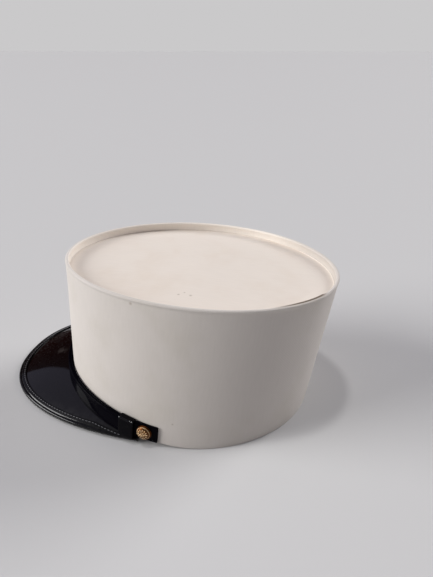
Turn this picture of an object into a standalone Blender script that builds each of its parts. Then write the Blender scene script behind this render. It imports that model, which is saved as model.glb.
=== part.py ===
"""A stiff white kepi: an oval cloth crown with a sunken top, a black patent peak with a bound edge, and a
two-part patent strap held by gilt buttons and keeper loops. Metres, +Z up, the wearer looks along -Y."""

import math

import bmesh
import bpy
from mathutils import Matrix, Vector

# Crown: outer sizes of the bottom oval and of the rim
BASE_LENGTH = 0.205
BASE_WIDTH = 0.177
TOP_LENGTH = 0.214
TOP_WIDTH = 0.1573
TOP_SET_BACK = 0.0104
FRONT_HEIGHT = 0.1165
REAR_HEIGHT = 0.1091
RIM_SIDE_RISE = 0.0018
OVAL_TAPER = 0.025
WALL = 0.0022
RIM_BULGE = 0.0003

# The bottom edge is flat at the rear and arches up over the peak
FRONT_ARCH = 0.0145
ARCH_START = 0.040

# Sunken top plate
PLATE_DEPTH = 0.0075
PLATE_THICKNESS = 0.0022
PLATE_DOME = 0.0010
PLATE_SHOULDER = 0.0015

# Peak, in plan half of a squarish oval that leaves the crown beside the buttons
PEAK_END = 0.010
PEAK_PROJECTION = 0.054
PEAK_SIDE_SPREAD = 0.0010
PEAK_SQUARENESS = 2.3
PEAK_TIP_REACH = 0.0026
PEAK_THICKNESS = 0.0016
PEAK_CROWN = 0.0022
PEAK_TIP_LIFT = 0.0006
BINDING_WIDTH = 0.0070
BINDING_TIP_SHARE = 0.5
BINDING_THICKNESS = 0.0007
BINDING_BEAD = 0.0012

# Strap halves, keeper loops and buttons
STRAP_RISE = 0.0008
STRAP_WIDTH = 0.0135
STRAP_THICKNESS = 0.0014
STRAP_CHAMFER = 0.0003
LOOP_THICKNESS = 0.0007
LOOP_LENGTH = 0.0115
LOOP_FROM_BUTTON = 0.0074
BUTTON_FORWARD = 0.0125
BUTTON_RADIUS = 0.0059
BUTTON_DOME = 0.0034
BUTTON_EDGE = 0.0008
POST_RADIUS = 0.0012
TAB_REACH = 0.0100

# Gap that keeps neighbouring pieces apart
GAP = 0.0003

# Facets
CROWN_STEPS = 88
RIM_STEPS = 8
CORNER_STEPS = 3
PEAK_STEPS = 48
PEAK_SPAN_STEPS = 7
BEAD_STEPS = 4
STRAP_STEPS = 56
LOOP_STEPS = 4
BUTTON_STEPS = 24
DOME_STEPS = 6
DOME_END = math.radians(84)
CREASE = math.radians(35)
SEARCH_STEPS = 36

# The bounding box is centred on the origin along Y
PEAK_FRONT = BASE_LENGTH / 2 + PEAK_PROJECTION
RIM_REAR = TOP_SET_BACK + TOP_LENGTH / 2 + RIM_BULGE
CROWN_CENTRE_Y = (PEAK_FRONT - RIM_REAR) / 2


def clear_scene():
    for item in list(bpy.data.objects):
        bpy.data.objects.remove(item)


def make_material(name, colour, roughness, metallic=0.0):
    material = bpy.data.materials.new(name)
    material.use_nodes = True
    shader = material.node_tree.nodes["Principled BSDF"]
    shader.inputs["Base Color"].default_value = (*colour, 1.0)
    shader.inputs["Roughness"].default_value = roughness
    shader.inputs["Metallic"].default_value = metallic
    return material


def smooth_step(low, high, value):
    share = min(max((value - low) / (high - low), 0.0), 1.0)
    return share * share * (3 - 2 * share)


def loft(name, sections, material, wrap=False):
    """One closed body through closed sections of equal length. Its ends are filled, or joined by wrap."""
    mesh_data = bmesh.new()
    rows = [[mesh_data.verts.new(point) for point in section] for section in sections]
    count = len(rows[0])
    pairs = list(zip(rows, rows[1:]))
    if wrap:
        pairs.append((rows[-1], rows[0]))
    for first, second in pairs:
        for i in range(count):
            j = (i + 1) % count
            mesh_data.faces.new((first[i], first[j], second[j], second[i]))
    if not wrap:
        mesh_data.faces.new(rows[0])
        mesh_data.faces.new(rows[-1])
    bmesh.ops.recalc_face_normals(mesh_data, faces=mesh_data.faces)
    mesh = bpy.data.meshes.new(name)
    mesh_data.to_mesh(mesh)
    mesh_data.free()
    mesh.shade_smooth()
    mesh.set_sharp_from_angle(angle=CREASE)
    mesh.materials.append(material)
    body = bpy.data.objects.new(name, mesh)
    bpy.context.scene.collection.objects.link(body)
    return body


def cut(body, cutter):
    """Takes the cutter's shape out of the body."""
    modifier = body.modifiers.new("cut_" + cutter.name, "BOOLEAN")
    modifier.operation = "DIFFERENCE"
    modifier.object = cutter


def oval_point(length, width, angle):
    """Angle 0 is the wearer's left, 90 degrees the rear. The oval is a little narrower at the front."""
    x = width / 2 * math.cos(angle) * (1 + OVAL_TAPER * math.sin(angle))
    return Vector((x, length / 2 * math.sin(angle), 0))


def oval_slope(length, width, angle):
    """Change of oval_point with its angle."""
    bend = OVAL_TAPER * math.cos(angle) ** 2 - math.sin(angle) * (1 + OVAL_TAPER * math.sin(angle))
    return Vector((width / 2 * bend, length / 2 * math.cos(angle), 0))


def base_edge(angle):
    """Outer bottom edge of the crown, from the middle of the bottom oval."""
    point = oval_point(BASE_LENGTH, BASE_WIDTH, angle)
    point.z = FRONT_ARCH * smooth_step(-ARCH_START, BASE_LENGTH / 2, -point.y)
    return point


def rim_edge(angle):
    """Top of the rim. It falls from the front to the rear and stands a little higher at the sides."""
    point = oval_point(TOP_LENGTH, TOP_WIDTH, angle)
    rear_share = point.y / TOP_LENGTH + 0.5
    point.z = FRONT_HEIGHT + (REAR_HEIGHT - FRONT_HEIGHT) * rear_share + RIM_SIDE_RISE * math.cos(angle) ** 2
    point.y += TOP_SET_BACK
    return point


def wall_height(angle):
    return (rim_edge(angle) - base_edge(angle)).length


def crown_normal(angle, share):
    """Outward and level direction, at a share of the way up the wall."""
    low = oval_slope(BASE_LENGTH, BASE_WIDTH, angle)
    high = oval_slope(TOP_LENGTH, TOP_WIDTH, angle)
    along = low.lerp(high, share)
    return Vector((along.y, -along.x, 0)).normalized()


def crown_point(angle, up, out=0.0):
    """Point a distance up the wall from its bottom edge and out from its outer face, in the part's frame."""
    share = up / wall_height(angle)
    point = base_edge(angle).lerp(rim_edge(angle), share)
    point += crown_normal(angle, share) * out
    return point + Vector((0, CROWN_CENTRE_Y, 0))


def angle_at(forward):
    """Angle on the wearer's left of a point this far in front of the bottom oval's middle."""
    return -math.asin(forward / (BASE_LENGTH / 2))


def mirrored(angle):
    return -math.pi - angle


def around(steps):
    return [2 * math.pi * i / steps for i in range(steps)]


def between(start, end, steps):
    return [start + (end - start) * i / steps for i in range(steps + 1)]


def last_inside(inside, low, high):
    """Largest value that passes the test, which holds at low and fails at high."""
    for _ in range(SEARCH_STEPS):
        middle = (low + high) / 2
        low, high = (middle, high) if inside(middle) else (low, middle)
    return low


def wall_section(angle):
    """Closed outline of the wall: straight faces under a rolled rim."""
    height = wall_height(angle)
    radius = WALL / 2 + RIM_BULGE
    dip = math.acos(WALL / 2 / radius)
    outline = [crown_point(angle, 0, -WALL), crown_point(angle, 0)]
    for turn in between(-dip, math.pi + dip, RIM_STEPS):
        up = height - radius + radius * math.sin(turn)
        outline.append(crown_point(angle, up, -WALL / 2 + radius * math.cos(turn)))
    return outline


def build_crown_wall(material):
    sections = [wall_section(angle) for angle in around(CROWN_STEPS)]
    return loft("crown_wall", sections, material, wrap=True)


def plate_ring(inset, drop):
    """Oval inside the wall, set in from its inner face and down from the plate's top face."""
    out = -(WALL + GAP + inset)
    ring = []
    for angle in around(CROWN_STEPS):
        ring.append(crown_point(angle, wall_height(angle) - PLATE_DEPTH - drop, out))
    return ring


def shrunk_ring(ring, share):
    """The ring drawn towards its middle, raised as the plate's shallow dome."""
    middle = sum(ring, Vector()) / len(ring)
    lift = Vector((0, 0, PLATE_DOME * (1 - share**2)))
    return [middle.lerp(point, share) + lift for point in ring]


def build_crown_top(material):
    """Plate with a rounded shoulder and a shallow dome, seated inside the wall."""
    shares = (0.75, 0.4, 0.1)
    shoulder = []
    for turn in between(0, math.pi / 2, CORNER_STEPS):
        inset = PLATE_SHOULDER * (1 - math.cos(turn))
        drop = PLATE_SHOULDER * (1 - math.sin(turn))
        shoulder.append(plate_ring(inset, drop))
    under = plate_ring(0, PLATE_THICKNESS)
    upper_rings = [shrunk_ring(shoulder[-1], share) for share in reversed(shares)]
    lower_rings = [shrunk_ring(under, share) for share in shares]
    sections = upper_rings + shoulder[::-1] + [under] + lower_rings
    return loft("crown_top", sections, material)


def peak_reach_at(angle):
    """Level distance from the crown's bottom edge, along its normal, to the peak's outer edge."""
    start = base_edge(angle)
    normal = crown_normal(angle, 0)

    def inside(reach):
        point = start + normal * reach
        across = abs(point.x) / (BASE_WIDTH / 2 + PEAK_SIDE_SPREAD)
        forward = max(-PEAK_END - point.y, 0) / (PEAK_FRONT - PEAK_END)
        return across**PEAK_SQUARENESS + forward**PEAK_SQUARENESS < 1

    return last_inside(inside, 0, PEAK_FRONT)


def peak_angles():
    """From the peak's tip beside the left loop round the front to its other tip."""
    tip = -last_inside(lambda turn: peak_reach_at(-turn) < PEAK_TIP_REACH, 0, math.pi / 2)
    return between(tip, mirrored(tip), PEAK_STEPS)


class PeakSection:
    """Middle line of the peak at one angle, from under the wall to the outer edge."""

    def __init__(self, angle):
        self.angle = angle
        self.reach = peak_reach_at(angle)
        root = crown_point(angle, 0)
        front_share = math.sin(angle) ** 2
        edge_height = PEAK_THICKNESS / 2 + GAP + BINDING_THICKNESS
        self.root_z = root.z - GAP - PEAK_THICKNESS / 2
        self.edge_z = edge_height + PEAK_TIP_LIFT * (1 - front_share)
        self.drop = self.root_z - self.edge_z
        self.slant = math.hypot(self.reach, self.drop)

    def point(self, share, lift):
        """Share 0 is the wall's outer face and 1 the outer edge; lift is square to the middle line."""
        out = self.reach * share
        crown = 4 * PEAK_CROWN * share * (1 - share) * self.reach / PEAK_PROJECTION
        height = self.root_z - self.drop * share + crown
        level = crown_point(self.angle, 0, out + lift * self.drop / self.slant)
        level.z = height + lift * self.reach / self.slant
        return level

    def flange(self, lift):
        """Point under the wall's inner face, where the peak is sewn to the crown."""
        point = crown_point(self.angle, 0, -WALL)
        point.z = self.root_z + lift
        return point

    def root(self, lift):
        """Point under the wall's outer face."""
        point = crown_point(self.angle, 0)
        point.z = self.root_z + lift
        return point


def build_peak(material):
    half = PEAK_THICKNESS / 2
    sections = []
    for angle in peak_angles():
        line = PeakSection(angle)
        end = 1 - (BINDING_THICKNESS + GAP) / line.slant
        shares = between(0, end, PEAK_SPAN_STEPS)[1:]
        outline = [line.flange(-half), line.flange(half), line.root(half)]
        outline += [line.point(share, half) for share in shares]
        outline += [line.point(share, -half) for share in reversed(shares)]
        outline.append(line.root(-half))
        sections.append(outline)
    return loft("peak", sections, material)


def build_peak_binding(material):
    """Strip folded over the peak's outer edge. It narrows towards the tips beside the loops."""
    inner = PEAK_THICKNESS / 2 + GAP
    outer = inner + BINDING_THICKNESS
    sections = []
    for angle in peak_angles():
        line = PeakSection(angle)
        width = min(BINDING_WIDTH, line.slant * BINDING_TIP_SHARE)
        start = 1 - width / line.slant
        fold = 1 - BINDING_BEAD / line.slant
        bend = 1 - BINDING_THICKNESS / line.slant
        leg = between(start, fold, CORNER_STEPS)[:-1]
        outline = [line.point(share, outer) for share in leg]
        for turn in between(math.pi / 2, -math.pi / 2, BEAD_STEPS):
            share = 1 - BINDING_BEAD * (1 - math.cos(turn)) / line.slant
            outline.append(line.point(share, outer * math.sin(turn)))
        outline += [line.point(share, -outer) for share in reversed(leg)]
        outline += [line.point(share, -inner) for share in leg + [bend]]
        outline += [line.point(share, inner) for share in [bend] + leg[::-1]]
        sections.append(outline)
    return loft("peak_binding", sections, material)


# Distances of the strap's backs from the wall
STRAP_SEAT = GAP
INNER_LAYER = GAP + LOOP_THICKNESS + GAP
OUTER_LAYER = INNER_LAYER + STRAP_THICKNESS + GAP

# Distances in front of the bottom oval's middle
LIFT_START = BUTTON_FORWARD + BUTTON_RADIUS
LOOP_REAR = BUTTON_FORWARD + LOOP_FROM_BUTTON
LOOP_FRONT = LOOP_REAR + LOOP_LENGTH
STRAP_END = LOOP_REAR + LOOP_LENGTH / 4


def strap_section(angle, face):
    """Chamfered rectangle of a strap whose back is this far out from the wall."""
    low, high, edge = STRAP_RISE, STRAP_RISE + STRAP_WIDTH, STRAP_CHAMFER
    back, front = face, face + STRAP_THICKNESS
    corners = [
        (low + edge, back),
        (low, back + edge),
        (low, front - edge),
        (low + edge, front),
        (high - edge, front),
        (high, front - edge),
        (high, back + edge),
        (high - edge, back),
    ]
    return [crown_point(angle, up, out) for up, out in corners]


def strap_angles():
    """From the tab behind the button round the front to the plain end, closer where the strap lifts."""
    tab, lift = angle_at(BUTTON_FORWARD - TAB_REACH), angle_at(LOOP_FRONT)
    end = mirrored(angle_at(STRAP_END))
    close_steps = STRAP_STEPS // 4
    return between(tab, lift, close_steps) + between(lift, end, STRAP_STEPS - close_steps)[1:]


def build_strap(name, layer, side, lift_end, material):
    """Half of the strap. Side 1 is buttoned on the wearer's left and side -1 on the right."""
    sections = []
    for angle in strap_angles():
        forward = -BASE_LENGTH / 2 * math.sin(angle)
        beside_button = angle > -math.pi / 2
        lifted = smooth_step(LIFT_START, lift_end, forward) if beside_button else 1
        face = STRAP_SEAT + (layer - STRAP_SEAT) * lifted
        placed = angle if side > 0 else mirrored(angle)
        sections.append(strap_section(placed, face))
    return loft(name, sections, material)


def build_loop(name, side, material):
    """Keeper loop: a flat leather band round both layers of the strap."""
    low, high = STRAP_RISE, STRAP_RISE + STRAP_WIDTH
    back, front = INNER_LAYER, OUTER_LAYER + STRAP_THICKNESS
    start, end = angle_at(LOOP_REAR), angle_at(LOOP_FRONT)
    if side < 0:
        start, end = mirrored(start), mirrored(end)
    angles = between(start, end, LOOP_STEPS)
    sections = []
    corners = ((high, front), (high, back), (low, back), (low, front))
    for quarter, (up, out) in enumerate(corners):
        for turn in between(quarter * math.pi / 2, (quarter + 1) * math.pi / 2, CORNER_STEPS):
            rise, reach = math.sin(turn), math.cos(turn)
            section = []
            for bend, run in ((GAP + LOOP_THICKNESS, angles), (GAP, angles[::-1])):
                section += [crown_point(a, up + bend * rise, out + bend * reach) for a in run]
            sections.append(section)
    return loft(name, sections, material, wrap=True)


def button_frame(side):
    """Matrix that turns the button's own axis, +Z, square to the leaning wall at the button."""
    angle = angle_at(BUTTON_FORWARD)
    if side < 0:
        angle = mirrored(angle)
    up = STRAP_RISE + STRAP_WIDTH / 2
    lean = (rim_edge(angle) - base_edge(angle)).normalized()
    level = crown_normal(angle, up / wall_height(angle))
    turn = (level - lean * level.dot(lean)).to_track_quat("Z", "Y")
    return Matrix.LocRotScale(crown_point(angle, up), turn, None)


def turned_sections(profile, frame):
    """Rings of a turned shape from (radius, height) pairs."""
    sections = []
    turns = around(BUTTON_STEPS)
    for radius, height in profile:
        ring = [Vector((radius * math.cos(a), radius * math.sin(a), height)) for a in turns]
        sections.append([frame @ point for point in ring])
    return sections


def build_button(name, side, material):
    """Domed gilt button on a plain post that passes through the strap and the wall."""
    back = STRAP_SEAT + STRAP_THICKNESS + GAP
    edge_top = back + BUTTON_EDGE
    lip_radius = BUTTON_RADIUS - BUTTON_EDGE / 3
    profile = [(POST_RADIUS, -WALL), (POST_RADIUS, back), (lip_radius, back)]
    profile += [(BUTTON_RADIUS, back + BUTTON_EDGE / 2), (lip_radius, edge_top)]
    for turn in between(0, DOME_END, DOME_STEPS):
        height = edge_top + (BUTTON_DOME - BUTTON_EDGE) * math.sin(turn)
        profile.append(((BUTTON_RADIUS - BUTTON_EDGE) * math.cos(turn), height))
    return loft(name, turned_sections(profile, button_frame(side)), material)


def build_post_cutter(name, side, material):
    """Hole for a button's post, through the wall and the strap."""
    radius = POST_RADIUS + GAP
    reach = WALL + STRAP_THICKNESS
    frame = button_frame(side)
    cutter = loft(name, turned_sections([(radius, -2 * reach), (radius, 2 * reach)], frame), material)
    cutter.hide_render = True
    cutter.display_type = "WIRE"
    return cutter


def main():
    clear_scene()
    cloth = make_material("white_cotton_cloth", (0.80, 0.76, 0.71), 0.85)
    plate_cloth = make_material("white_cotton_top", (0.82, 0.78, 0.72), 0.85)
    patent = make_material("black_patent_leather", (0.012, 0.012, 0.014), 0.12)
    gilt = make_material("gilt_brass", (0.83, 0.58, 0.26), 0.28, metallic=1.0)

    wall = build_crown_wall(cloth)
    build_crown_top(plate_cloth)
    build_peak(patent)
    build_peak_binding(patent)
    inner = build_strap("strap_inner", INNER_LAYER, 1, LOOP_REAR, patent)
    outer = build_strap("strap_outer", OUTER_LAYER, -1, STRAP_END, patent)

    for name, side, strap in (("left", 1, inner), ("right", -1, outer)):
        build_loop("loop_" + name, side, patent)
        build_button("button_" + name, side, gilt)
        cutter = build_post_cutter("post_hole_" + name, side, gilt)
        cut(wall, cutter)
        cut(strap, cutter)


main()
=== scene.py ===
# %% [markdown]
# # A white kepi with a patent leather peak
#
# This lesson dresses a stiff military cap, a kepi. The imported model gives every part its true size
# and place. Here each part gets a finer mesh and the finish of the real thing: cotton drill drawn
# tight over card, black patent leather, and gilt buttons.

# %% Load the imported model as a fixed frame
import math

import bmesh
import bpy
from mathutils import Matrix, Vector, noise


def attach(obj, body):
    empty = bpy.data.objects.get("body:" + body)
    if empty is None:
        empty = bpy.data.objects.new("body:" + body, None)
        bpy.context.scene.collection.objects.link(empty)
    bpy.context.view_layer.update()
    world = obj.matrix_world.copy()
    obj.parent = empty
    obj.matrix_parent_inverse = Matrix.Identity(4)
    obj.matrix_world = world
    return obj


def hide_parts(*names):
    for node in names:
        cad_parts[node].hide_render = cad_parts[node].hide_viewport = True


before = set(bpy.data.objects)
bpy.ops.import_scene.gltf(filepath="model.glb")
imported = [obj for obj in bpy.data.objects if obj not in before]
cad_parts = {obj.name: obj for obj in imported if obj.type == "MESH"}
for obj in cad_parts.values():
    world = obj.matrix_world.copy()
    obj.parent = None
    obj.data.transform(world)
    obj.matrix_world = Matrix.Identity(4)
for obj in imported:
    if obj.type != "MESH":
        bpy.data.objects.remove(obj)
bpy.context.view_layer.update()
print("nodes:", sorted(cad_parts))

# %% [markdown]
# ## Sizes
#
# The cap is described by the sizes that a cap maker would measure. They are in metres, and they
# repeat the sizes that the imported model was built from, so each finer mesh lands on its part.

# %% Sizes of the crown
MM = 0.001
BASE_LENGTH = 205 * MM
BASE_WIDTH = 177 * MM
TOP_LENGTH = 214 * MM
TOP_WIDTH = 157.3 * MM
TOP_SET_BACK = 10.4 * MM
FRONT_HEIGHT = 116.5 * MM
REAR_HEIGHT = 109.1 * MM
RIM_SIDE_RISE = 1.8 * MM
OVAL_TAPER = 0.025
WALL = 2.2 * MM
RIM_BULGE = 0.3 * MM
FRONT_ARCH = 14.5 * MM
ARCH_START = 40 * MM
GAP = 0.3 * MM
print("the rim is", round((FRONT_HEIGHT - REAR_HEIGHT) / MM, 1), "mm higher in front than behind")

# %% Sizes of the plate, peak, strap and buttons
PLATE_DEPTH = 7.5 * MM
PLATE_THICKNESS = 2.2 * MM
PEAK_END = 10 * MM
PEAK_PROJECTION = 54 * MM
PEAK_SIDE_SPREAD = 1.0 * MM
PEAK_SQUARENESS = 2.3
PEAK_TIP_REACH = 2.6 * MM
PEAK_THICKNESS = 1.6 * MM
PEAK_CROWN = 2.2 * MM
PEAK_TIP_LIFT = 0.6 * MM
BINDING_WIDTH = 7 * MM
BINDING_TIP_SHARE = 0.5
BINDING_THICKNESS = 0.7 * MM
STRAP_RISE = 0.8 * MM
STRAP_WIDTH = 13.5 * MM
STRAP_THICKNESS = 1.4 * MM
LOOP_THICKNESS = 0.7 * MM
LOOP_LENGTH = 11.5 * MM
LOOP_FROM_BUTTON = 7.4 * MM
BUTTON_FORWARD = 12.5 * MM
BUTTON_RADIUS = 5.9 * MM
BUTTON_DOME = 3.4 * MM
BUTTON_EDGE = 0.8 * MM
TAB_REACH = 10 * MM

PEAK_FRONT = BASE_LENGTH / 2 + PEAK_PROJECTION
RIM_REAR = TOP_SET_BACK + TOP_LENGTH / 2 + RIM_BULGE
CENTRE_Y = (PEAK_FRONT - RIM_REAR) / 2
print("crown centre sits", round(CENTRE_Y / MM, 2), "mm behind the middle of the cap")

# %% [markdown]
# ## One helper for nodes
#
# Materials and Geometry Nodes are both trees of nodes. One small function is enough to add any of
# them: it sets the node's own settings, links what is a node or a socket, and types in the rest.
# A few nodes have several sockets of one name, so theirs go by number. In a Mix node set to colour,
# input 0 is the share, 6 and 7 are the two colours, and output 2 is the mixed one.


# %% The helper that adds a node
def add_node(tree, kind, settings=None, inputs=None):
    """Adds a node. An input given a node or a socket is linked, and any other value is set."""
    node = tree.nodes.new(kind)
    for name, value in (settings or {}).items():
        setattr(node, name, value)
    for key, value in (inputs or {}).items():
        source = value.outputs[0] if isinstance(value, bpy.types.Node) else value
        if isinstance(source, bpy.types.NodeSocket):
            tree.links.new(source, node.inputs[key])
        else:
            node.inputs[key].default_value = source
    return node


# %% [markdown]
# ## A tree needs named inputs
#
# A Geometry Nodes tree is easier to reuse when its sizes are inputs with names. The first helper
# makes an empty tree with such inputs, and the second ends a tree with real mesh in its material.
# The third runs a tree on a mesh and keeps the result as a plain mesh. A modifier finds its inputs
# by the socket's identifier, so the names are looked up.


# %% Helpers that make and run a Geometry Nodes tree
SOCKET_KINDS = {int: "NodeSocketInt", float: "NodeSocketFloat"}


def new_tree(name, sizes):
    """Tree with a mesh in, a mesh out and a named input for each size and for the material."""
    tree = bpy.data.node_groups.new(name, "GeometryNodeTree")
    tree.interface.new_socket("Geometry", in_out="OUTPUT", socket_type="NodeSocketGeometry")
    tree.interface.new_socket("Geometry", in_out="INPUT", socket_type="NodeSocketGeometry")
    for label, value in sizes.items():
        socket = tree.interface.new_socket(label, in_out="INPUT", socket_type=SOCKET_KINDS[type(value)])
        socket.default_value = value
    tree.interface.new_socket("Material", in_out="INPUT", socket_type="NodeSocketMaterial")
    return tree, add_node(tree, "NodeGroupInput")


def end_tree(tree, geometry, material):
    """Ends a tree: instances become real mesh, and the mesh gets its material."""
    real = add_node(tree, "GeometryNodeRealizeInstances", {}, {"Geometry": geometry})
    finished = add_node(tree, "GeometryNodeSetMaterial", {}, {"Geometry": real, "Material": material})
    add_node(tree, "NodeGroupOutput", {}, {"Geometry": finished})


def run_tree(mesh, tree, values):
    """The plain mesh that a tree makes from another mesh."""
    carrier = bpy.data.objects.new("carrier", mesh)
    bpy.context.scene.collection.objects.link(carrier)
    modifier = carrier.modifiers.new(tree.name, "NODES")
    modifier.node_group = tree
    for item in tree.interface.items_tree:
        if item.in_out == "INPUT" and item.name in values:
            modifier[item.identifier] = values[item.name]
    evaluated = carrier.evaluated_get(bpy.context.evaluated_depsgraph_get())
    made = bpy.data.meshes.new_from_object(evaluated)
    bpy.data.objects.remove(carrier)
    return made


print("a tree's sizes are of the kinds", sorted(SOCKET_KINDS.values()))

# %% [markdown]
# ## Wrapping flat work round the crown
#
# The wall is a cone whose bottom is one oval and whose rim is another, tipped and set back. The
# straps, the keeper loops and the cotton all follow it. So each of them is drawn flat, like a
# pattern on a table, and one tree wraps them all: x is the angle round the oval, y is a height on
# the wall and z is the distance out from it. A second number, rise, says what share of the wall's
# full height is added to y, because the front of the wall is taller than the back.

# %% The named sizes of the crown
CROWN_SIZES = {
    "Base Length": BASE_LENGTH,
    "Base Width": BASE_WIDTH,
    "Top Length": TOP_LENGTH,
    "Top Width": TOP_WIDTH,
    "Top Set Back": TOP_SET_BACK,
    "Front Height": FRONT_HEIGHT,
    "Rear Height": REAR_HEIGHT,
    "Side Rise": RIM_SIDE_RISE,
    "Oval Taper": OVAL_TAPER,
    "Front Arch": FRONT_ARCH,
    "Arch Start": ARCH_START,
    "Centre Y": CENTRE_Y,
}
print("the crown has", len(CROWN_SIZES), "named sizes")


# %% Points on the bottom edge and on the rim
def add_bottom_edge(tree, size, half_oval, base_size):
    """Point on the bottom edge, which is flat at the rear and arches up over the peak."""
    flat = add_node(
        tree, "ShaderNodeVectorMath", {"operation": "MULTIPLY"}, {0: half_oval, 1: base_size}
    )
    flat_y = add_node(tree, "ShaderNodeSeparateXYZ", {}, {0: flat}).outputs["Y"]
    front_y = add_node(
        tree, "ShaderNodeMath", {"operation": "MULTIPLY"}, {0: size["Base Length"], 1: -0.5}
    )
    arch = add_node(
        tree,
        "ShaderNodeMapRange",
        {"interpolation_type": "SMOOTHSTEP"},
        {
            "Value": flat_y,
            "From Min": size["Arch Start"],
            "From Max": front_y,
            "To Max": size["Front Arch"],
        },
    )
    lift = add_node(tree, "ShaderNodeCombineXYZ", {}, {"Z": arch})
    return add_node(tree, "ShaderNodeVectorMath", {"operation": "ADD"}, {0: flat, 1: lift})


def add_rim(tree, size, half_oval, top_size, sine, square):
    """Point on the rim, which falls to the rear and stands a little higher at the sides."""
    flat = add_node(
        tree, "ShaderNodeVectorMath", {"operation": "MULTIPLY"}, {0: half_oval, 1: top_size}
    )
    height = add_node(
        tree,
        "ShaderNodeMapRange",
        {},
        {
            "Value": sine,
            "From Min": -1.0,
            "To Min": size["Front Height"],
            "To Max": size["Rear Height"],
        },
    )
    top = add_node(
        tree,
        "ShaderNodeMath",
        {"operation": "MULTIPLY_ADD"},
        {0: square, 1: size["Side Rise"], 2: height.outputs["Result"]},
    )
    lift = add_node(tree, "ShaderNodeCombineXYZ", {}, {"Y": size["Top Set Back"], "Z": top})
    return add_node(tree, "ShaderNodeVectorMath", {"operation": "ADD"}, {0: flat, 1: lift})


# %% The direction out from the wall
def add_outward(tree, slope, base_size, top_size, share):
    """Level direction square to the oval at this share of the wall's height."""
    growth = add_node(
        tree, "ShaderNodeVectorMath", {"operation": "SUBTRACT"}, {0: top_size, 1: base_size}
    )
    grown = add_node(
        tree, "ShaderNodeVectorMath", {"operation": "SCALE"}, {0: growth, "Scale": share}
    )
    oval_size = add_node(
        tree, "ShaderNodeVectorMath", {"operation": "ADD"}, {0: base_size, 1: grown}
    )
    sides = add_node(tree, "ShaderNodeSeparateXYZ", {}, {0: oval_size}).outputs
    swapped = add_node(tree, "ShaderNodeCombineXYZ", {}, {"X": sides["Y"], "Y": sides["X"]})
    outward = add_node(
        tree, "ShaderNodeVectorMath", {"operation": "MULTIPLY"}, {0: slope, 1: swapped}
    )
    return add_node(tree, "ShaderNodeVectorMath", {"operation": "NORMALIZE"}, {0: outward})


# %% The tree that wraps a flat pattern round the crown
def make_crown_tree():
    tree, sizes = new_tree("wrap_on_crown", CROWN_SIZES)
    size = sizes.outputs
    drawn = add_node(tree, "GeometryNodeInputPosition")
    angle, offset, out = add_node(tree, "ShaderNodeSeparateXYZ", {}, {0: drawn}).outputs
    rise = add_node(
        tree, "GeometryNodeInputNamedAttribute", {"data_type": "FLOAT"}, {"Name": "rise"}
    )

    # Both ovals are one unit oval, narrower at the front, stretched to their sizes
    sine = add_node(tree, "ShaderNodeMath", {"operation": "SINE"}, {0: angle})
    cosine = add_node(tree, "ShaderNodeMath", {"operation": "COSINE"}, {0: angle})
    square = add_node(tree, "ShaderNodeMath", {"operation": "MULTIPLY"}, {0: cosine, 1: cosine})
    taper = add_node(
        tree, "ShaderNodeMath", {"operation": "MULTIPLY_ADD"}, {0: sine, 1: size["Oval Taper"], 2: 1.0}
    )
    across = add_node(tree, "ShaderNodeMath", {"operation": "MULTIPLY"}, {0: cosine, 1: taper})
    oval = add_node(tree, "ShaderNodeCombineXYZ", {}, {"X": across, "Y": sine})
    half_oval = add_node(
        tree, "ShaderNodeVectorMath", {"operation": "SCALE"}, {0: oval, "Scale": 0.5}
    )
    base_size = add_node(
        tree, "ShaderNodeCombineXYZ", {}, {"X": size["Base Width"], "Y": size["Base Length"]}
    )
    top_size = add_node(
        tree, "ShaderNodeCombineXYZ", {}, {"X": size["Top Width"], "Y": size["Top Length"]}
    )
    base = add_bottom_edge(tree, size, half_oval, base_size)
    rim = add_rim(tree, size, half_oval, top_size, sine, square)

    # A height on the wall becomes a share of the way from the bottom edge to the rim
    apart = add_node(tree, "ShaderNodeVectorMath", {"operation": "DISTANCE"}, {0: base, 1: rim})
    height = apart.outputs["Value"]
    up = add_node(
        tree,
        "ShaderNodeMath",
        {"operation": "MULTIPLY_ADD"},
        {0: rise.outputs["Attribute"], 1: height, 2: offset},
    )
    share = add_node(tree, "ShaderNodeMath", {"operation": "DIVIDE"}, {0: up, 1: height})
    lean = add_node(tree, "ShaderNodeVectorMath", {"operation": "SUBTRACT"}, {0: rim, 1: base})
    climb = add_node(tree, "ShaderNodeVectorMath", {"operation": "SCALE"}, {0: lean, "Scale": share})
    on_wall = add_node(tree, "ShaderNodeVectorMath", {"operation": "ADD"}, {0: base, 1: climb})

    # The unit oval's own outward direction allows for its narrower front
    slip = add_node(
        tree, "ShaderNodeMath", {"operation": "MULTIPLY"}, {0: square, 1: size["Oval Taper"]}
    )
    turn = add_node(tree, "ShaderNodeMath", {"operation": "MULTIPLY"}, {0: sine, 1: taper})
    bend = add_node(tree, "ShaderNodeMath", {"operation": "SUBTRACT"}, {0: turn, 1: slip})
    slope = add_node(tree, "ShaderNodeCombineXYZ", {}, {"X": cosine, "Y": bend})
    outward = add_outward(tree, slope, base_size, top_size, share)
    step_out = add_node(
        tree, "ShaderNodeVectorMath", {"operation": "SCALE"}, {0: outward, "Scale": out}
    )
    placed = add_node(tree, "ShaderNodeVectorMath", {"operation": "ADD"}, {0: on_wall, 1: step_out})
    centre = add_node(tree, "ShaderNodeCombineXYZ", {}, {"Y": size["Centre Y"]})
    final = add_node(tree, "ShaderNodeVectorMath", {"operation": "ADD"}, {0: placed, 1: centre})
    wrapped = add_node(
        tree, "GeometryNodeSetPosition", {}, {"Geometry": size["Geometry"], "Position": final}
    )
    end_tree(tree, wrapped, size["Material"])
    return tree


CROWN_TREE = make_crown_tree()
print("wrap_on_crown has", len(CROWN_TREE.nodes), "nodes")

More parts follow.
